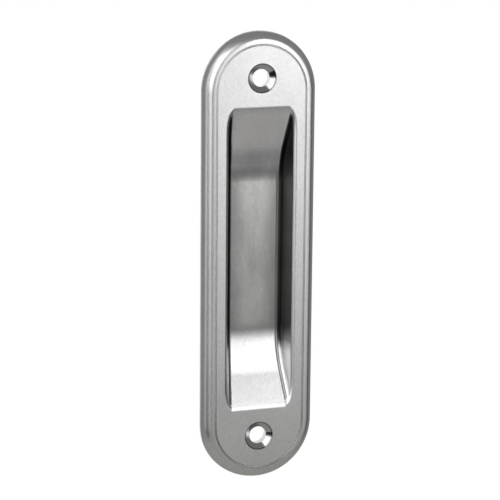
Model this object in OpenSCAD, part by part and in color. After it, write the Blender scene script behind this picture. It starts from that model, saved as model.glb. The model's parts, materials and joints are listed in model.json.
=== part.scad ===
// Oblong flush pull for a sliding door: one casting with a flat field, a stepped and
// rounded rim, a long finger recess with scooped ends, and two countersunk screw holes.
// Its back is cored out, with a cup round the recess and a boss round each screw hole.
// X is across the plate, Z along it, +Y goes into the door. The origin is the middle of
// the plane where the back of the rim meets the door.

/* [Plate] */
// Overall length of the plate
plate_l = 155; // [140:1:180]
// Overall width of the plate, also the diameter of its round ends
plate_w = 40; // [38:0.5:46]
// Height of the flat field over the door
field_h = 4.55; // [4:0.05:6]
// Thickness of the metal behind the field
field_t = 2.4; // [2:0.1:3]
// Width of the rim's seat on the door
seat_w = 2.6; // [2:0.1:3]

/* [Rim] */
// Distance from the plate's edge in to the groove round the field
groove_inset = 4.3; // [3.8:0.05:5]
// Radius of the half-round groove
groove_r = 0.28; // [0.15:0.01:0.4]
// Distance from the plate's edge in to the outer side of the flat band
band_inset = 3.05; // [2.6:0.05:3.4]
// Width of the bevel that drops from the flat band to the rounded edge
bevel_w = 0.4; // [0.2:0.05:0.6]
// Height of that bevel
bevel_h = 0.4; // [0.2:0.05:0.8]

/* [Recess] */
// Length of the opening at the field, to where the ramps run out
open_l = 105.3; // [95:0.1:110]
// Width of the opening at the field, with its rounded lip
open_w = 26.3; // [24:0.1:27]
// Depth of the recess under the field
recess_d = 7.3; // [6:0.1:9]
// Lean of the side walls from square to the field
wall_lean = 14; // [10:0.1:18]
// Radius of the lip along the sides of the opening
lip_r = 1.8; // [1:0.05:2.2]
// Radius of the fillet between the floor and the side walls
floor_fillet_r = 2.7; // [2:0.05:3]
// Radius of the scoop that lifts the floor to each ramp
scoop_r = 45; // [25:1:55]
// Slope of the straight ramp at each end
ramp_angle = 20.2; // [16:0.1:24]
// Radius that blends the top of each ramp into the field
run_out_r = 3.8; // [2:0.1:6]
// Thickness of the cup's wall behind the recess
cup_t = 1.6; // [1.2:0.1:2]
// Rounding along the bottom corners of the cup
cup_corner_r = 3; // [2:0.1:3.5]

/* [Screw holes] */
// Distance between the two screw holes
hole_spacing = 124; // [118:0.5:126]
// Diameter of the clearance holes
hole_d = 6; // [5:0.1:6.5]
// Diameter of the countersinks at the field
sink_d = 9.8; // [9:0.1:10.5]
// Full angle of the countersinks
sink_angle = 90; // [82:1:100]
// Thickness of the boss's wall round each hole, which carries the screw to the door
boss_wall = 2.5; // [2:0.1:4]

/* [Smoothness] */
// Facets of each full round
round_fn = 96; // [48:8:160]
// Steps over the rounded edge of the plate
edge_steps = 12; // [6:1:20]
// Steps round the lip, over the side fillets and over the scoop
lip_steps = 7; // [4:1:10]
fillet_steps = 7; // [4:1:10]
scoop_steps = 8; // [4:1:12]
// Steps along each straight ramp, and over its run-out to the field
ramp_steps = 6; // [3:1:10]
run_out_steps = 5; // [3:1:8]

/* [Hidden] */
$fn = round_fn;

end_r = plate_w / 2;
end_z = plate_l / 2 - end_r;
groove_x = end_r - groove_inset;
band_x = end_r - band_inset;
bevel_x = band_x + bevel_w;
// the rounded edge is a quarter ellipse from the foot of the bevel to the door
edge_w = end_r - bevel_x;
edge_h = field_h - bevel_h;

// side wall of the recess: it leaves the lip here and leans in with depth
wall_angle = 90 - wall_lean;
wall_x = open_w / 2 - lip_r * sin(wall_angle);
wall_y = lip_r * (1 - cos(wall_angle));
both_r = lip_r + floor_fillet_r;
full_wall_y = both_r * (1 - cos(wall_angle));

// top of the straight ramp, where it meets its run-out
ramp_z = open_l / 2 - run_out_r * sin(ramp_angle);
ramp_y = run_out_r * (1 - cos(ramp_angle));

// the scoop starts where its arc and the straight ramp together reach full depth
ramp_drop = recess_d - ramp_y - scoop_r * (1 - cos(ramp_angle));
scoop_z = ramp_z - ramp_drop / tan(ramp_angle) - scoop_r * sin(ramp_angle);

// how far a cut runs past the face that it opens
over = 1.5;
// the cup and the bosses start this far under the field, inside the metal behind it
weld_depth = 0.8;
// the recess starts at this angle of the run-out, where it is just under the field
first_angle = 3;
// the lip stops this share of a step short where no wall parts it from the fillet
short_step = 0.5;

// Profile along the recess, as [distance from the middle, depth under the field]

function run_out_points() = [
    for (i = [0 : run_out_steps])
        let (a = first_angle + (ramp_angle - first_angle) * i / run_out_steps)
        [open_l / 2 - run_out_r * sin(a), run_out_r * (1 - cos(a))]
];

function scoop_points() = [
    for (i = [0 : scoop_steps])
        let (a = ramp_angle * (1 - i / scoop_steps))
        [scoop_z + scoop_r * sin(a), recess_d - scoop_r * (1 - cos(a))]
];

// the straight ramp, between its run-out and the scoop
function ramp_points() =
    let (from = [ramp_z, ramp_y], to = scoop_points()[0])
    [for (i = [1 : ramp_steps - 1]) from + (to - from) * i / ramp_steps];

half_profile = concat(run_out_points(), ramp_points(), scoop_points());
profile = concat(
    half_profile,
    [for (i = [len(half_profile) - 1 : -1 : 0]) [-half_profile[i][0], half_profile[i][1]]]
);

// Cross-section of the recess at one depth

// angle that lip and fillet turn through: less than the wall's where the recess is shallow
function turn(depth) = depth >= full_wall_y ? wall_angle : acos(1 - depth / both_r);

// half width of the floor
function floor_x(depth) =
    open_w / 2 - both_r * sin(wall_angle) - (depth - full_wall_y) * tan(wall_lean);

// half width of the opening at the field, which narrows over the ramps into its corners
function mouth_x(depth) = floor_x(depth) + both_r * sin(turn(depth))
    + max(0, depth - full_wall_y) * tan(wall_lean);

function side_points(depth) =
    let (
        t = turn(depth),
        last = depth >= full_wall_y ? t : t * (1 - short_step / lip_steps)
    )
    concat(
        [[mouth_x(depth), -over]],
        [for (i = [0 : lip_steps])
            let (a = last * i / lip_steps)
            [mouth_x(depth) - lip_r * sin(a), lip_r * (1 - cos(a))]],
        [for (i = [0 : fillet_steps])
            let (a = t * (1 - i / fillet_steps))
            [floor_x(depth) + floor_fillet_r * sin(a), depth - floor_fillet_r * (1 - cos(a))]]
    );

function ring(p) =
    let (s = side_points(p[1]), n = len(s))
    concat(
        [for (i = [0 : n - 1]) [s[i][0], s[i][1] - field_h, p[0]]],
        [for (i = [n - 1 : -1 : 0]) [-s[i][0], s[i][1] - field_h, p[0]]]
    );

// the space inside the recess, from its floor to a little over the field
module recess_space() {
    rings = len(profile);
    n = len(ring(profile[0]));
    points = [for (p = profile) each ring(p)];
    walls = [
        for (i = [0 : rings - 2], j = [0 : n - 1])
            let (a = i * n + j, b = i * n + (j + 1) % n)
            [a, b, b + n, a + n]
    ];
    caps = [
        [for (j = [n - 1 : -1 : 0]) j],
        [for (j = [0 : n - 1]) (rings - 1) * n + j]
    ];
    polyhedron(points = points, faces = concat(walls, caps), convexity = 4);
}

// Outside of the cup: the same section and profile, one wall thickness further out

cup_x = wall_x + cup_t / cos(wall_lean);
cup_floor = recess_d + cup_t;

// half width of the cup's side at one depth
function cup_side_x(depth) = cup_x - (depth - wall_y) * tan(wall_lean);

module cup_section() {
    corner_y = cup_floor - cup_corner_r;
    corner_x = cup_side_x(corner_y) - cup_corner_r / cos(wall_lean);
    tangent_x = corner_x + cup_corner_r * cos(wall_lean);
    tangent_y = corner_y + cup_corner_r * sin(wall_lean);
    top_x = cup_side_x(weld_depth);
    polygon([
        [-top_x, weld_depth], [-tangent_x, tangent_y], [-corner_x, cup_floor],
        [corner_x, cup_floor], [tangent_x, tangent_y], [top_x, weld_depth]
    ]);
    for (side = [-1, 1])
        translate([side * corner_x, corner_y])
            circle(r = cup_corner_r);
}

module cup_profile() {
    outer_r = scoop_r + cup_t;
    centre_y = recess_d - scoop_r;
    turn_z = scoop_z + outer_r * sin(ramp_angle);
    turn_y = centre_y + outer_r * cos(ramp_angle);
    top_z = turn_z + (turn_y - weld_depth) / tan(ramp_angle);
    polygon([
        [-top_z, weld_depth], [-turn_z, turn_y], [-scoop_z, cup_floor],
        [scoop_z, cup_floor], [turn_z, turn_y], [top_z, weld_depth]
    ]);
    for (side = [-1, 1])
        intersection() {
            translate([side * scoop_z, centre_y])
                circle(r = outer_r, $fn = 3 * round_fn);
            polygon([
                [side * scoop_z, weld_depth], [side * scoop_z, cup_floor],
                [side * turn_z, cup_floor], [side * turn_z, turn_y], [side * turn_z, weld_depth]
            ]);
        }
}

module cup_shape() {
    translate([0, -field_h, 0])
        intersection() {
            linear_extrude(height = plate_l, center = true)
                cup_section();
            rotate([90, 0, 90])
                linear_extrude(height = plate_w, center = true)
                    rotate(90)
                        mirror([0, 1])
                            cup_profile();
        }
}

// Plate with its rim, hollow behind

// half of the plate's section: across from its middle line, and up from the door
module half_section() {
    rounded_edge = [
        for (i = [0 : edge_steps])
            let (a = 90 * i / edge_steps)
            [bevel_x + edge_w * cos(a), edge_h * sin(a)]
    ];
    difference() {
        polygon(concat([[0, 0]], rounded_edge, [[band_x, field_h], [0, field_h]]));
        translate([groove_x, field_h])
            circle(r = groove_r);
    }
}

// a round-ended bar that follows a half section along the plate
module round_ended() {
    for (side = [0, 1])
        mirror([0, 0, side])
            translate([0, 0, end_z])
                rotate([90, 0, 0])
                    rotate_extrude(angle = 180)
                        children();
    for (side = [0, 1])
        mirror([side, 0, 0])
            linear_extrude(height = 2 * end_z, center = true)
                mirror([0, 1])
                    children();
}

module plate_shell() {
    difference() {
        round_ended()
            half_section();
        round_ended()
            translate([0, -over])
                square([end_r - seat_w, field_h - field_t + over]);
    }
}

module screw_boss() {
    rotate([90, 0, 0])
        cylinder(d = hole_d + 2 * boss_wall, h = field_h - weld_depth);
}

module screw_hole() {
    sink_depth = (sink_d - hole_d) / 2 / tan(sink_angle / 2);
    rotate([90, 0, 0]) {
        translate([0, 0, -over])
            cylinder(d = hole_d, h = field_h + 2 * over);
        translate([0, 0, field_h - sink_depth])
            cylinder(d1 = hole_d, d2 = sink_d, h = sink_depth);
        translate([0, 0, field_h])
            cylinder(d = sink_d, h = over);
    }
}

module pull_body() {
    color([0.72, 0.71, 0.69])
        difference() {
            union() {
                plate_shell();
                cup_shape();
                for (side = [-1, 1])
                    translate([0, 0, side * hole_spacing / 2])
                        screw_boss();
            }
            recess_space();
            for (side = [-1, 1])
                translate([0, 0, side * hole_spacing / 2])
                    screw_hole();
        }
}

pull_body();
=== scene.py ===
import json
import math

import bmesh
import bpy
from mathutils import Euler, Matrix, Vector

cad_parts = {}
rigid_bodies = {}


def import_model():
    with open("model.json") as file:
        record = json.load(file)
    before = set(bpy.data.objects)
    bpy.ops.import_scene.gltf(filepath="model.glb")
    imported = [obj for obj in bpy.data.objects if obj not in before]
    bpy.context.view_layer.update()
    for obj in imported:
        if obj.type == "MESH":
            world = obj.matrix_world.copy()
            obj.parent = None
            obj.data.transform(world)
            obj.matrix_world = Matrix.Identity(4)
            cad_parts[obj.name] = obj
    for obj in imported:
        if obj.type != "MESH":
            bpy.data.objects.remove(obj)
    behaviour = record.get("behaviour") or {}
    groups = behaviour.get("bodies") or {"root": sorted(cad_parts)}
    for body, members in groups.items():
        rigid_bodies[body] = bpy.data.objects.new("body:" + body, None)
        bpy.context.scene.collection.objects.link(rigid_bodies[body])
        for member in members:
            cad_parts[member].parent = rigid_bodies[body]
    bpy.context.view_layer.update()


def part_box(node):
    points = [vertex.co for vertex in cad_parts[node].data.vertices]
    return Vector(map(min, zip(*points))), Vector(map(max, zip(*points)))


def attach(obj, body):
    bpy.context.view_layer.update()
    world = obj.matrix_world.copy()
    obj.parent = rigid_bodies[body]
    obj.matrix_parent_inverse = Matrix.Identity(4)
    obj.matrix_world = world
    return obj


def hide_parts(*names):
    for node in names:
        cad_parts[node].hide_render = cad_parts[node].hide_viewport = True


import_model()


# Rim. The pull is one casting of satin metal. Its edge is one profile carried round an oblong
# path: a half-round groove outside the flat field, a flat band, a shallow bevel, a rounded
# edge down to the door, the seat on the door and the wall of the cored-out back.

mm = 0.001
metal = bpy.data.materials.new("satin_metal")
plate_low, plate_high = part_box("pull_body")
end_r = plate_high.x
end_z = plate_high.z - end_r
field_h = -plate_low.y
field_t = 2.4 * mm
seat_w = 2.6 * mm
groove_x = end_r - 4.3 * mm
groove_r = 0.33 * mm
band_x = end_r - 3.05 * mm
bevel_x = band_x + 0.6 * mm
bevel_h = field_h - 0.12 * mm
edge_turn = 75
edge_w = (end_r - bevel_x) / (1 - math.cos(math.radians(edge_turn)))
edge_h = bevel_h / math.sin(math.radians(edge_turn))
end_points = 97


def arc(cx, cy, r, first, last, steps):
    """Points of an arc in a plane, between two angles in degrees."""
    turns = [math.radians(first + (last - first) * i / steps) for i in range(steps + 1)]
    return [(cx + r * math.cos(t), cy + r * math.sin(t)) for t in turns]


def profile_curve(name, points, path_r):
    """A section as a curve: distance out from the middle of its path, and height."""
    data = bpy.data.curves.new(name, "CURVE")
    data.dimensions = "2D"
    spline = data.splines.new("POLY")
    spline.points.add(len(points) - 1)
    for point, (x, height) in zip(spline.points, points):
        point.co = (x - path_r, height, 0, 1)
    curve = bpy.data.objects.new(name, data)
    bpy.context.scene.collection.objects.link(curve)
    return curve


def rim_profile():
    """The rounded edge is part of an ellipse that meets the door upright."""
    edge = [
        (end_r - edge_w * (1 - x), edge_h * height)
        for x, height in arc(0, 0, 1, edge_turn, 0, steps=32)
    ]
    return (
        arc(groove_x, field_h, groove_r, 180, 360, steps=12)
        + [(band_x, field_h)]
        + edge
        + [(end_r - seat_w, 0), (end_r - seat_w, field_h - field_t)]
    )


def add_node(node_tree, kind, links, settings):
    """Adds a node to a tree, makes its settings, and links or sets its inputs."""
    node = node_tree.nodes.new(kind)
    for key, value in settings.items():
        setattr(node, key, value)
    for key, value in dict(links).items():
        if isinstance(value, bpy.types.NodeSocket):
            node_tree.links.new(value, node.inputs[key])
        else:
            node.inputs[key].default_value = value
    return node


class Tree:
    """A Geometry Nodes tree with named inputs, and short calls that add to it."""

    def __init__(self, name, inputs):
        self.group = bpy.data.node_groups.new(name, "GeometryNodeTree")
        face = self.group.interface
        face.new_socket("Geometry", in_out="INPUT", socket_type="NodeSocketGeometry")
        face.new_socket("Geometry", in_out="OUTPUT", socket_type="NodeSocketGeometry")
        self.ids = {}
        for label, kind in inputs:
            socket = face.new_socket(label, in_out="INPUT", socket_type="NodeSocket" + kind)
            self.ids[label] = socket.identifier
        self.inputs = self.node("NodeGroupInput").outputs
        self.output = self.node("NodeGroupOutput")

    def node(self, kind, links=(), **settings):
        return add_node(self.group, kind, links, settings)

    def math(self, operation, *values):
        return self.node("ShaderNodeMath", enumerate(values), operation=operation).outputs[0]

    def finish(self, mesh, material):
        """Ends the tree with plain geometry of one material."""
        real = self.node("GeometryNodeRealizeInstances", {"Geometry": mesh})
        made_of = self.node(
            "GeometryNodeSetMaterial", {"Geometry": real.outputs[0], "Material": material}
        )
        self.group.links.new(made_of.outputs[0], self.output.inputs[0])

    def mesh(self, name, values):
        """The plain mesh that the tree gives for these values, turned to face the room."""
        carrier = bpy.data.objects.new(name, bpy.data.meshes.new(name))
        bpy.context.scene.collection.objects.link(carrier)
        modifier = carrier.modifiers.new(name, "NODES")
        modifier.node_group = self.group
        for label, value in values.items():
            modifier[self.ids[label]] = value
        graph = bpy.context.evaluated_depsgraph_get()
        made = bpy.data.meshes.new_from_object(carrier.evaluated_get(graph))
        made.transform(Matrix.Rotation(math.radians(-90), 4, "X"))
        bpy.data.objects.remove(carrier)
        return made


def oblong_sweep():
    """A tree that carries a profile round an oblong path of half circles and straights."""
    tree = Tree("oblong_sweep", [
        ("Profile", "Object"), ("End radius", "Float"), ("End centre", "Float"),
        ("End points", "Int"),
    ])
    radius, centre, points = (tree.inputs[k] for k in ("End radius", "End centre", "End points"))
    line = tree.node("GeometryNodeMeshLine", {"Count": tree.math("MULTIPLY", points, 2)})
    path = tree.node("GeometryNodeMeshToCurve", {"Mesh": line.outputs[0]})
    index = tree.node("GeometryNodeInputIndex").outputs[0]
    lower = tree.math("GREATER_THAN", index, tree.math("SUBTRACT", points, 0.5))
    step = tree.math("SUBTRACT", index, tree.math("MULTIPLY", lower, points))
    share = tree.math("DIVIDE", step, tree.math("SUBTRACT", points, 1))
    turn = tree.math("MULTIPLY", tree.math("ADD", share, lower), math.pi)
    side = tree.math("SUBTRACT", 1, tree.math("MULTIPLY", lower, 2))
    across = tree.math("MULTIPLY", radius, tree.math("COSINE", turn))
    along = tree.math("MULTIPLY", radius, tree.math("SINE", turn))
    place = tree.node("ShaderNodeCombineXYZ", {
        "X": across, "Y": tree.math("ADD", along, tree.math("MULTIPLY", side, centre)),
    })
    bent = tree.node("GeometryNodeSetPosition", {
        "Geometry": path.outputs[0], "Position": place.outputs[0],
    })
    closed = tree.node("GeometryNodeSetSplineCyclic", {
        "Geometry": bent.outputs[0], "Cyclic": True,
    })
    section = tree.node("GeometryNodeObjectInfo", {"Object": tree.inputs["Profile"]})
    swept = tree.node("GeometryNodeCurveToMesh", {
        "Curve": closed.outputs[0], "Profile Curve": section.outputs["Geometry"],
    })
    tree.finish(swept.outputs[0], metal)
    return tree


rim_section = profile_curve("rim_profile", rim_profile(), end_r)
rim = oblong_sweep().mesh("rim", {
    "Profile": rim_section, "End radius": end_r, "End centre": end_z, "End points": end_points,
})
casting = bmesh.new()
casting.from_mesh(rim)


# Screw holes. Each end of the plate has a countersunk clearance hole for a flat-headed screw,
# whose bore opens a little towards the back. A round boss behind it carries the screw's pull
# straight to the door.

hole_spacing = 124 * mm
hole_r = 3.0 * mm
back_hole_r = 3.35 * mm
sink_r = 5.0 * mm
sink_depth = 1.35 * mm
boss_r = hole_r + 2.5 * mm
broken_edge_r = 0.10 * mm
broken_edge_turn = 45
hole_points = 96


def hole_profile():
    """The countersink has a small broken edge where it meets the field."""
    shoulder = broken_edge_r * math.tan(math.radians(broken_edge_turn / 2))
    return (
        arc(sink_r + shoulder, field_h - broken_edge_r, broken_edge_r,
            90, 90 + broken_edge_turn, steps=4)
        + [(hole_r, field_h - sink_depth), (back_hole_r, 0), (boss_r, 0)]
        + [(boss_r, field_h - field_t)]
    )


def turned_pair():
    """A tree that turns a profile round two axes, one towards each end of the plate."""
    tree = Tree("turned_pair", [
        ("Profile", "Object"), ("Radius", "Float"), ("Points", "Int"), ("Spacing", "Float"),
    ])
    path = tree.node("GeometryNodeCurvePrimitiveCircle", {
        "Resolution": tree.inputs["Points"], "Radius": tree.inputs["Radius"],
    })
    section = tree.node("GeometryNodeObjectInfo", {"Object": tree.inputs["Profile"]})
    turned = tree.node("GeometryNodeCurveToMesh", {
        "Curve": path.outputs[0], "Profile Curve": section.outputs["Geometry"],
    })
    spacing = tree.inputs["Spacing"]
    first = tree.node("ShaderNodeCombineXYZ", {"Y": tree.math("MULTIPLY", spacing, -0.5)})
    apart = tree.node("ShaderNodeCombineXYZ", {"Y": spacing})
    places = tree.node("GeometryNodeMeshLine", {
        "Count": 2, "Start Location": first.outputs[0], "Offset": apart.outputs[0],
    })
    pair = tree.node("GeometryNodeInstanceOnPoints", {
        "Points": places.outputs[0], "Instance": turned.outputs[0],
    })
    tree.finish(pair.outputs[0], metal)
    return tree


hole_section = profile_curve("hole_profile", hole_profile(), hole_r)
holes = turned_pair().mesh("holes", {
    "Profile": hole_section, "Radius": hole_r, "Points": hole_points, "Spacing": hole_spacing,
})
casting.from_mesh(holes)


# Finger recess. The pocket for the fingertips is a loft of one section along one profile:
# a rounded lip, a leaning side wall, a fillet and the floor, which rises in a scoop and a
# straight ramp and runs out into the field at each end of the opening.

open_l = 105.3 * mm
open_w = 25.4 * mm
recess_d = 7.3 * mm
wall_lean = math.radians(14)
lip_r = 1.35 * mm
floor_fillet_r = 2.7 * mm
scoop_r = 42 * mm
ramp_turn = math.radians(21.8)
run_out_r = 3.8 * mm
wall_turn = math.radians(90) - wall_lean
both_r = lip_r + floor_fillet_r
full_wall_depth = both_r * (1 - math.cos(wall_turn))


def spread(first, last, steps):
    """Even steps from first to last, both included."""
    return [first + (last - first) * i / steps for i in range(steps + 1)]


def recess_profile():
    """Distance from the middle and depth under the field, from the opening's end inwards."""
    turns = [ramp_turn * share * share for share in spread(0, 1, steps=20)]
    run_out = [
        (open_l / 2 - run_out_r * math.sin(a), run_out_r * (1 - math.cos(a))) for a in turns
    ]
    top_z, top_depth = run_out[-1]
    foot_depth = recess_d - scoop_r * (1 - math.cos(ramp_turn))
    foot_z = top_z - (foot_depth - top_depth) / math.tan(ramp_turn)
    floor_end_z = foot_z - scoop_r * math.sin(ramp_turn)
    ramp = list(zip(spread(top_z, foot_z, steps=24), spread(top_depth, foot_depth, steps=24)))
    scoop = [
        (floor_end_z + scoop_r * math.sin(a), recess_d - scoop_r * (1 - math.cos(a)))
        for a in spread(ramp_turn, 0, steps=36)
    ]
    return run_out + ramp[1:] + scoop[1:], floor_end_z


def recess_half_section(depth):
    """Half width, depth and steepness of points from the opening's edge to the middle."""
    wall_depth = max(0, depth - full_wall_depth)
    turn = wall_turn if wall_depth else math.acos(1 - depth / both_r)
    floor_run = both_r * math.sin(wall_turn) + (depth - full_wall_depth) * math.tan(wall_lean)
    floor_edge = open_w / 2 - floor_run
    mouth = floor_edge + both_r * math.sin(turn) + wall_depth * math.tan(wall_lean)
    lip = [
        (mouth - lip_r * math.sin(a), lip_r * (1 - math.cos(a)), math.sin(a))
        for a in spread(0, turn, steps=16)
    ]
    fillet = [
        (floor_edge + floor_fillet_r * math.sin(a), depth - floor_fillet_r * (1 - math.cos(a)),
         math.sin(a))
        for a in spread(turn, 0, steps=16)
    ]
    wall = list(zip(*(spread(a, b, steps=4) for a, b in zip(lip[-1], fillet[0]))))
    floor_half = [(x, depth, 0) for x in spread(floor_edge, 0, steps=4)]
    return lip + wall[1:-1] + fillet + floor_half[1:]


def mirrored(half):
    """The whole section from its half, whose last point is on the middle line."""
    return half + [(-x, *others) for x, *others in reversed(half[:-1])]


steepness = casting.verts.layers.float.new("steepness")


def section_ring(section, z):
    """A section's points at one place along the plate, each kept with its steepness."""
    ring = [casting.verts.new((x, depth - field_h, z)) for x, depth, _ in section]
    for vert, (_, _, steep) in zip(ring, section):
        vert[steepness] = steep
    return ring


def loft(rows):
    """Skins the casting with a grid of faces between rings of vertices."""
    for row, after in zip(rows, rows[1:]):
        for a, b, c, d in zip(row, row[1:], after[1:], after):
            casting.faces.new((a, b, c, d))


def both_ways(profile):
    """A profile from one end through the middle to the other."""
    return profile + [(-z, depth) for z, depth in reversed(profile)]


recess_line, scoop_z = recess_profile()
loft([
    section_ring(mirrored(recess_half_section(depth)), z) for z, depth in both_ways(recess_line)
])


# Back. The casting is cored out behind the field to keep its metal even, which leaves a cup
# round the recess. The cup goes into a pocket in the door, and nobody sees it. A steepness
# under zero marks the cup, so that the recess's tones and painted shade don't show on it.

cup_t = 1.6 * mm
cup_corner_r = 3.0 * mm
cup_mark = -1
cup_floor = recess_d + cup_t
lip_wall_x = open_w / 2 - lip_r * math.sin(wall_turn)
lip_wall_y = lip_r * (1 - math.cos(wall_turn))
corner_y = cup_floor - cup_corner_r


def cup_side_x(depth):
    """Half width of the cup's leaning side at one depth under the field."""
    run = (depth - lip_wall_y) * math.tan(wall_lean)
    return lip_wall_x + cup_t / math.cos(wall_lean) - run


corner_x = cup_side_x(corner_y) - cup_corner_r / math.cos(wall_lean)
corner_start_y = corner_y + cup_corner_r * math.sin(wall_lean)


def cup_half_width(depth):
    """Half width of the cup at one depth, on its leaning side or round its corner."""
    if depth <= corner_start_y:
        return cup_side_x(depth)
    return corner_x + math.sqrt(max(0, cup_corner_r ** 2 - (depth - corner_y) ** 2))


def cup_half_section(depth):
    """Half width, depth and mark of points from the back of the field to the middle."""
    turns = spread(0, math.radians(90), steps=24)
    depths = [field_t + (depth - field_t) * math.sin(a) for a in turns]
    side = [(cup_half_width(d), d, cup_mark) for d in depths]
    return side + [(x, depth, cup_mark) for x in spread(side[-1][0], 0, steps=4)[1:]]


def cup_profile():
    """Distance from the middle and depth of the cup's outside, from its end inwards."""
    outer_r = scoop_r + cup_t
    turn_z = scoop_z + outer_r * math.sin(ramp_turn)
    turn_depth = recess_d - scoop_r + outer_r * math.cos(ramp_turn)
    cup_end_z = turn_z + (turn_depth - field_t) / math.tan(ramp_turn)
    ramp = list(zip(spread(cup_end_z, turn_z, steps=8), spread(field_t, turn_depth, steps=8)))
    scoop = [
        (scoop_z + outer_r * math.sin(a), recess_d - scoop_r + outer_r * math.cos(a))
        for a in spread(ramp_turn, 0, steps=20)
    ]
    return ramp + scoop[1:]


loft([
    section_ring(mirrored(cup_half_section(depth)), z) for z, depth in both_ways(cup_profile())
])


# Finish. The metal is plated, blasted to a soft satin and brushed up its length. The recess is
# smoother, and painted shade darkens it, most on its fillets and walls; a darker, warmer band
# lies where each scoop starts, and a painted highlight brightens the walls by the lower ramp.
# Painted shade lies in the groove and on the lower face, and the screw seats are turned.

bright_tone = 0.84
# Painted shade on the lower face of the plate.
low_face_shade_tone = 0.87 * bright_tone
# Painted shade in the groove, darker still low down.
groove_shade_tone = 0.70
low_groove_shade_tone = 0.48
seat_tone = 0.85
turned_line_tone = 0.34
seat_edge_share = 0.3
# Painted shade: the recess floor is darker than the face, and darker still towards its walls.
floor_shade_tone = 0.51
floor_middle_share = 1.13
floor_side_share = 0.70
upper_ramp_tone = 0.85
# Painted shade: the recess's fillets and walls are given dark colours for the shade that falls in
# them.
fillet_shade_tone = 0.05
wall_shade_tone = 0.28
# Painted highlight: the walls by the lower ramp are given a white colour for the light they
# reflect.
lower_wall_highlight_tone = 1.0
scoop_band_share = 0.82
cool_share = 1.01
warm_share = 0.975
scoop_band_warm_share = 0.94
face_roughness = (0.29, 0.33)
recess_roughness = (0.18, 0.24)
lower_wall_roughness = 0.45
seat_roughness = 0.16
grain_depth = 0.004 * mm

metal.use_nodes = True
satin = metal.node_tree.nodes["Principled BSDF"]
satin.inputs["Metallic"].default_value = 1.0


def metal_node(kind, links=(), **settings):
    return add_node(metal.node_tree, kind, links, settings)


def metal_math(operation, *values):
    return metal_node("ShaderNodeMath", enumerate(values), operation=operation).outputs[0]


def metal_mix(amount, first, second):
    return metal_node("ShaderNodeMix", {0: amount, 2: first, 3: second}).outputs[0]


def metal_length(x, z):
    return metal_math("SQRT", metal_math(
        "ADD", metal_math("MULTIPLY", x, x), metal_math("MULTIPLY", z, z)))


def metal_range(value, span, results=(0, 1)):
    """Carries a value over a span to a result at each end of it, held beyond them."""
    return metal_node("ShaderNodeMapRange", {
        "Value": value, "From Min": span[0], "From Max": span[1],
        "To Min": results[0], "To Max": results[1],
    }).outputs[0]


def metal_noise(scale_x, scale_y, scale_z, detail):
    """Noise on the piece's own coordinates, in cells per metre along each axis."""
    place = metal_node("ShaderNodeMapping", {
        "Vector": metal_node("ShaderNodeTexCoord").outputs["Object"],
        "Scale": (scale_x, scale_y, scale_z),
    })
    return metal_node("ShaderNodeTexNoise", {
        "Vector": place.outputs[0], "Scale": 1.0, "Detail": detail, "Roughness": 0.55,
    }).outputs["Fac"]


spot = metal_node("ShaderNodeSeparateXYZ", {
    "Vector": metal_node("ShaderNodeTexCoord").outputs["Object"],
}).outputs
across = metal_math("ABSOLUTE", spot["X"])
along = metal_math("ABSOLUTE", spot["Z"])
steep = metal_node("ShaderNodeAttribute", attribute_name="steepness").outputs["Fac"]

# Where the recess's tones and painted shade lie, and their parts along the recess and up its sides
mask_slack = 0.1 * mm
lip_fade = (0.45 * mm - field_h, 0.85 * mm - field_h)
upper_ramp_start = (scoop_z, scoop_z + 6 * mm)
lower_ramp_start = (-scoop_z - 8 * mm, -scoop_z - 4 * mm)
finish_middle_z = 1.7 * mm
scoop_band_z = scoop_z + 1.8 * mm
scoop_band_rise = (scoop_band_z - 3.5 * mm, scoop_band_z)
scoop_band_fall = (scoop_band_z, scoop_band_z + 2.5 * mm)
floor_shade_end = (scoop_band_z - 3 * mm, scoop_band_z + 1 * mm)
floor_side = (3 * mm, 8.2 * mm)
fillet_slope = (0.26, 0.40)
wall_slope = (0.72, 0.86)
lower_wall_slope = (0.40, 0.52)

in_opening = metal_math(
    "MULTIPLY",
    metal_math("LESS_THAN", across, open_w / 2 + mask_slack),
    metal_math("LESS_THAN", along, open_l / 2),
)
under_lip = metal_range(spot["Y"], lip_fade)
pocket = metal_math(
    "MULTIPLY", metal_math("MULTIPLY", in_opening, under_lip),
    metal_math("GREATER_THAN", steep, cup_mark / 2))
up_high = metal_range(spot["Z"], upper_ramp_start)
down_low = metal_range(spot["Z"], lower_ramp_start, (1, 0))
off_middle = metal_math("ABSOLUTE", metal_math("SUBTRACT", spot["Z"], finish_middle_z))
on_floor = metal_range(off_middle, floor_shade_end, (1, 0))
# Painted shade on the floor, lighter in its middle and darker towards its walls.
floor_side_shade = metal_mix(
    on_floor, 1.0, metal_range(across, floor_side, (floor_middle_share, floor_side_share)))
level_tone = metal_math("MULTIPLY", metal_mix(up_high, floor_shade_tone, upper_ramp_tone), floor_side_shade)
# Painted shade on the fillets and the walls; by the lower ramp the walls take a painted highlight
# instead.
fillet_mix = metal_mix(metal_range(steep, fillet_slope), level_tone, fillet_shade_tone)
side_tone = metal_mix(down_low, wall_shade_tone, lower_wall_highlight_tone)
side_mix = metal_mix(
    down_low, metal_range(steep, wall_slope), metal_range(steep, lower_wall_slope))
# A darker, warmer band where each scoop starts.
scoop_band = metal_math(
    "MULTIPLY", metal_range(off_middle, scoop_band_rise), metal_range(off_middle, scoop_band_fall, (1, 0)))
inside_tone = metal_math(
    "MULTIPLY", metal_mix(side_mix, fillet_mix, side_tone), metal_mix(scoop_band, 1.0, scoop_band_share))

# Where the groove and the screw seats lie, on the front alone
front_depths = (2.1 * mm - field_h, 2.2 * mm - field_h)
low_groove = (-62 * mm, -50 * mm)
low_face = (-75 * mm, -30 * mm)
seat_edge = (sink_r - 0.6 * mm, sink_r - 0.1 * mm)
turned_lines_per_metre = 2600.0
turned_line_contrast = (0.4, 0.6)

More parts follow.
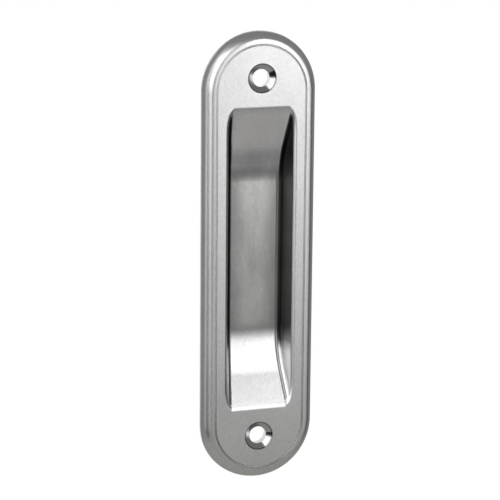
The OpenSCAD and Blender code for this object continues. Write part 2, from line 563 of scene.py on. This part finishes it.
off_centre = metal_length(
    across, metal_math("MAXIMUM", metal_math("SUBTRACT", along, end_z), 0.0))
off_groove = metal_math("ABSOLUTE", metal_math("SUBTRACT", off_centre, groove_x))
on_front = metal_range(spot["Y"], front_depths, (1, 0))
in_groove = metal_math(
    "MULTIPLY", on_front, metal_range(off_groove, (groove_r, groove_r + mask_slack), (1, 0)))
off_hole = metal_length(across, metal_math("SUBTRACT", along, hole_spacing / 2))
in_seat = metal_math(
    "MULTIPLY", on_front, metal_range(off_hole, (sink_r, sink_r + mask_slack), (1, 0)))
# Painted shade in the groove, darker towards the bottom of the plate.
groove_shade = metal_range(spot["Z"], low_groove, (low_groove_shade_tone, groove_shade_tone))
# Painted shade on the lower face, which is also tinted a little warmer there.
low_face_mask = metal_range(spot["Z"], low_face, (1, 0))
face_tone = metal_mix(in_groove, metal_mix(low_face_mask, bright_tone, low_face_shade_tone), groove_shade)
turning = metal_node("ShaderNodeTexNoise", {
    "W": metal_math("MULTIPLY", off_hole, turned_lines_per_metre), "Detail": 2.0,
}, noise_dimensions="1D").outputs["Fac"]
turned_tone = metal_math(
    "MULTIPLY", metal_range(turning, turned_line_contrast, (turned_line_tone, seat_tone)),
    metal_range(off_hole, seat_edge, (1, seat_edge_share)))
outer_tone = metal_mix(in_seat, face_tone, turned_tone)

# Grain over the whole casting, finer across it than along it, and smudges, which change the
# gloss everywhere and the tone in the recess alone
fine_grain = metal_noise(2600, 2600, 500, detail=3)
speckle = metal_noise(3000, 3000, 2400, detail=2)
smudge = metal_noise(110, 110, 45, detail=3)
grain_share = 0.6
surface_contrast = (0.55, 1.05)
surface_wear = (0.89, 1.10)
smudge_contrast = (0.35, 0.65)
smudge_wear = (0.92, 1.08)
roughness_contrast = (0.3, 0.7)

surface = metal_math("ADD", metal_math("MULTIPLY", fine_grain, grain_share), speckle)
worn = metal_math(
    "MULTIPLY",
    metal_range(surface, surface_contrast, surface_wear),
    metal_mix(pocket, 1.0, metal_range(smudge, smudge_contrast, smudge_wear)),
)
tone = metal_math("MULTIPLY", metal_mix(pocket, outer_tone, inside_tone), worn)
blue_share = metal_mix(
    metal_math("MULTIPLY", pocket, on_floor),
    metal_mix(low_face_mask, cool_share, warm_share), metal_mix(scoop_band, warm_share, scoop_band_warm_share))
blue_tone = metal_math("MULTIPLY", tone, blue_share)
tint = metal_node("ShaderNodeCombineColor", {0: tone, 1: tone, 2: blue_tone}).outputs[0]
metal.node_tree.links.new(tint, satin.inputs["Base Color"])
smudged_roughness = metal_mix(
    pocket, metal_range(smudge, roughness_contrast, face_roughness),
    metal_range(smudge, roughness_contrast, recess_roughness))
# The walls by the lower ramp, under the painted highlight, are rougher too.
lower_wall_zone = metal_math("MULTIPLY", metal_math("MULTIPLY", down_low, side_mix), pocket)
roughness = metal_mix(
    in_seat, metal_mix(lower_wall_zone, smudged_roughness, lower_wall_roughness), seat_roughness)
metal.node_tree.links.new(roughness, satin.inputs["Roughness"])
bump = metal_node("ShaderNodeBump", {"Strength": 1.0, "Distance": grain_depth, "Height": surface})
metal.node_tree.links.new(bump.outputs[0], satin.inputs["Normal"])


# One casting. The rim, holes, recess and back are one piece of metal: their edges are
# joined, the flat field and the flat face behind it are closed between them, and the
# creases stay crisp between surfaces that are smooth.

weld = 0.0001 * mm
crease = math.radians(15)


def close_flat(y):
    """Fills the flat face at one depth between all the open edges that lie in it."""
    open_edges = [
        e for e in casting.edges
        if e.is_boundary and all(abs(v.co.y - y) < weld for v in e.verts)
    ]
    bmesh.ops.triangle_fill(casting, edges=open_edges, use_beauty=True)


bmesh.ops.remove_doubles(casting, verts=casting.verts, dist=weld)
bmesh.ops.dissolve_degenerate(casting, edges=casting.edges, dist=weld)
close_flat(-field_h)
close_flat(field_t - field_h)
bmesh.ops.recalc_face_normals(casting, faces=casting.faces)
for face in casting.faces:
    face.smooth = True
    face.material_index = 0
for edge in casting.edges:
    edge.smooth = edge.calc_face_angle(0) < crease
body_mesh = bpy.data.meshes.new("pull_casting")
casting.to_mesh(body_mesh)
casting.free()
body_mesh.materials.clear()
body_mesh.materials.append(metal)
body = bpy.data.objects.new("pull_casting", body_mesh)
bpy.context.scene.collection.objects.link(body)
even_normals = body.modifiers.new("even_normals", "WEIGHTED_NORMAL")
even_normals.keep_sharp = True
even_normals.weight = 100
for section in (rim_section, hole_section):
    bpy.data.objects.remove(section)

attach(body, "root")
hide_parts("pull_body")


# Studio. The pull hangs over a pale floor in front of a white backdrop. A narrow, strong soft
# box stands on its right and broad ones fill its left up high, with dim ones low on both sides
# and a strip beyond. The room is dark low down on both sides, which gives the metal contrast.

room_level = 0.21
lamp_reach = 4.0


def seen_from_pull(azimuth, elevation, reach):
    """A place in the room: azimuth 0 is straight in front of the pull and 90 on its right."""
    a, e = math.radians(azimuth), math.radians(elevation)
    return Vector((math.cos(e) * math.sin(a), -math.cos(e) * math.cos(a), math.sin(e))) * reach


def soft_box(name, azimuths, elevations, level):
    """A soft lamp that fills these angles as seen from the pull. Level 1 reflects as white."""
    azimuth, elevation = sum(azimuths) / 2, sum(elevations) / 2
    data = bpy.data.lights.new(name, "AREA")
    data.shape = "RECTANGLE"
    data.size = 2 * lamp_reach * math.tan(math.radians(azimuths[1] - azimuths[0]) / 2)
    data.size_y = 2 * lamp_reach * math.tan(math.radians(elevations[1] - elevations[0]) / 2)
    data.energy = level * math.pi * data.size * data.size_y
    lamp = bpy.data.objects.new(name, data)
    lamp.location = seen_from_pull(azimuth, elevation, lamp_reach)
    lamp.rotation_euler = (-lamp.location).to_track_quat("-Z", "Y").to_euler()
    bpy.context.scene.collection.objects.link(lamp)


soft_box("front_box", (15, 30), (-7, 25.8), 2.6)
soft_box("low_left_box", (-46, -10), (-12.5, -7), 0.55)
soft_box("low_right_box", (12, 48), (-12.5, -7), 0.52)
soft_box("left_box", (-66, -10), (-6, 36), 1.55)
soft_box("high_left_box", (-72, -26), (36, 50), 1.5)
soft_box("left_strip", (-95, -81), (-16, 60), 0.9)

world = bpy.data.worlds.new("studio")
bpy.context.scene.world = world
world.use_nodes = True


def world_node(kind, links=(), **settings):
    return add_node(world.node_tree, kind, links, settings)


def world_math(operation, *values):
    return world_node("ShaderNodeMath", enumerate(values), operation=operation).outputs[0]


towards = world_node("ShaderNodeSeparateXYZ", {
    "Vector": world_node("ShaderNodeTexCoord").outputs["Generated"],
}).outputs
patch_softness = 6


def room_patch(azimuth, elevation, half_width, half_height):
    """1 inside a patch of the room round one direction, and 0 outside it, in degrees."""
    middle = seen_from_pull(azimuth, 0, 1)
    ahead = world_math("ADD", world_math("MULTIPLY", towards["X"], middle.x),
                       world_math("MULTIPLY", towards["Y"], middle.y))
    beside = world_math("SUBTRACT", world_math("MULTIPLY", towards["X"], middle.y),
                        world_math("MULTIPLY", towards["Y"], middle.x))
    off_side = world_math("ABSOLUTE", world_math("ARCTAN2", beside, ahead))
    height = world_math("ARCSINE", towards["Z"])
    off_height = world_math(
        "ABSOLUTE", world_math("SUBTRACT", height, math.radians(elevation)))
    inside = [
        world_node("ShaderNodeMapRange", {
            "Value": off, "From Min": math.radians(half + patch_softness / 2),
            "From Max": math.radians(half - patch_softness / 2),
        }, interpolation_type="SMOOTHSTEP").outputs[0]
        for off, half in ((off_side, half_width), (off_height, half_height))
    ]
    return world_math("MULTIPLY", *inside)


dark = world_math("MAXIMUM", room_patch(-60, -40, 22, 26), room_patch(62, -30, 15, 30))
backdrop = room_patch(180, 0, 28, 25)
room = world.node_tree.nodes["Background"]
room.inputs["Color"].default_value = (1, 1, 1, 1)
world.node_tree.links.new(
    world_math("MULTIPLY", world_math("SUBTRACT", 1, dark), room_level), room.inputs["Strength"])
white = world_node("ShaderNodeBackground", {"Color": (1, 1, 1, 1), "Strength": 1.0})
seen = world_node("ShaderNodeLightPath").outputs
in_metal = world_math("ADD", seen["Is Glossy Ray"], seen["Is Transmission Ray"])
sees_white = world_math(
    "MAXIMUM", seen["Is Camera Ray"], world_math("MULTIPLY", in_metal, backdrop))
pick = world_node("ShaderNodeMixShader", {0: sees_white, 1: room.outputs[0], 2: white.outputs[0]})
world.node_tree.links.new(pick.outputs[0], world.node_tree.nodes["World Output"].inputs["Surface"])

floor_z = -0.30
floor_r = 0.42
floor_colour = (0.77, 0.76, 0.74, 1)
floor_roughness = 0.9
floor_mesh = bpy.data.meshes.new("floor")
floor_disc = bmesh.new()
bmesh.ops.create_circle(
    floor_disc, cap_ends=True, segments=128, radius=floor_r,
    matrix=Matrix.Translation((0, 0, floor_z)))
floor_disc.to_mesh(floor_mesh)
floor_disc.free()
pale = bpy.data.materials.new("pale_floor")
pale.use_nodes = True
pale_floor = pale.node_tree.nodes["Principled BSDF"]
pale_floor.inputs["Base Color"].default_value = floor_colour
pale_floor.inputs["Roughness"].default_value = floor_roughness
floor_mesh.materials.append(pale)
floor = bpy.data.objects.new("floor", floor_mesh)
bpy.context.scene.collection.objects.link(floor)


# Camera. It stands to the left of the pull and a little above it, at the place and focal
# length that fit the points read in the photograph. Its aim is given across and up from the
# middle of the pull, and its distance from the pull lies along its line of sight.

view_yaw = math.radians(19.0)
view_pitch = math.radians(12.5)
view_roll = math.radians(0.5126)
view_distance = 728.35 * mm
view_aim_across = -2.101 * mm
view_aim_up = 2.586 * mm
photo_px = 500
focal_px = 2139.16
sensor_mm = 36

camera_data = bpy.data.cameras.new("camera")
camera_data.sensor_width = sensor_mm
camera_data.lens = sensor_mm * focal_px / photo_px
camera_data.clip_start = 0.01
camera = bpy.data.objects.new("camera", camera_data)
turn = (
    Euler((math.radians(90) - view_pitch, 0, -view_yaw)).to_matrix()
    @ Matrix.Rotation(view_roll, 3, "Z")
)
place = turn @ Vector((view_aim_across, view_aim_up, view_distance))
camera.matrix_world = Matrix.Translation(place) @ turn.to_4x4()
bpy.context.scene.collection.objects.link(camera)
bpy.context.scene.camera = camera
bpy.context.scene.view_settings.view_transform = "Standard"
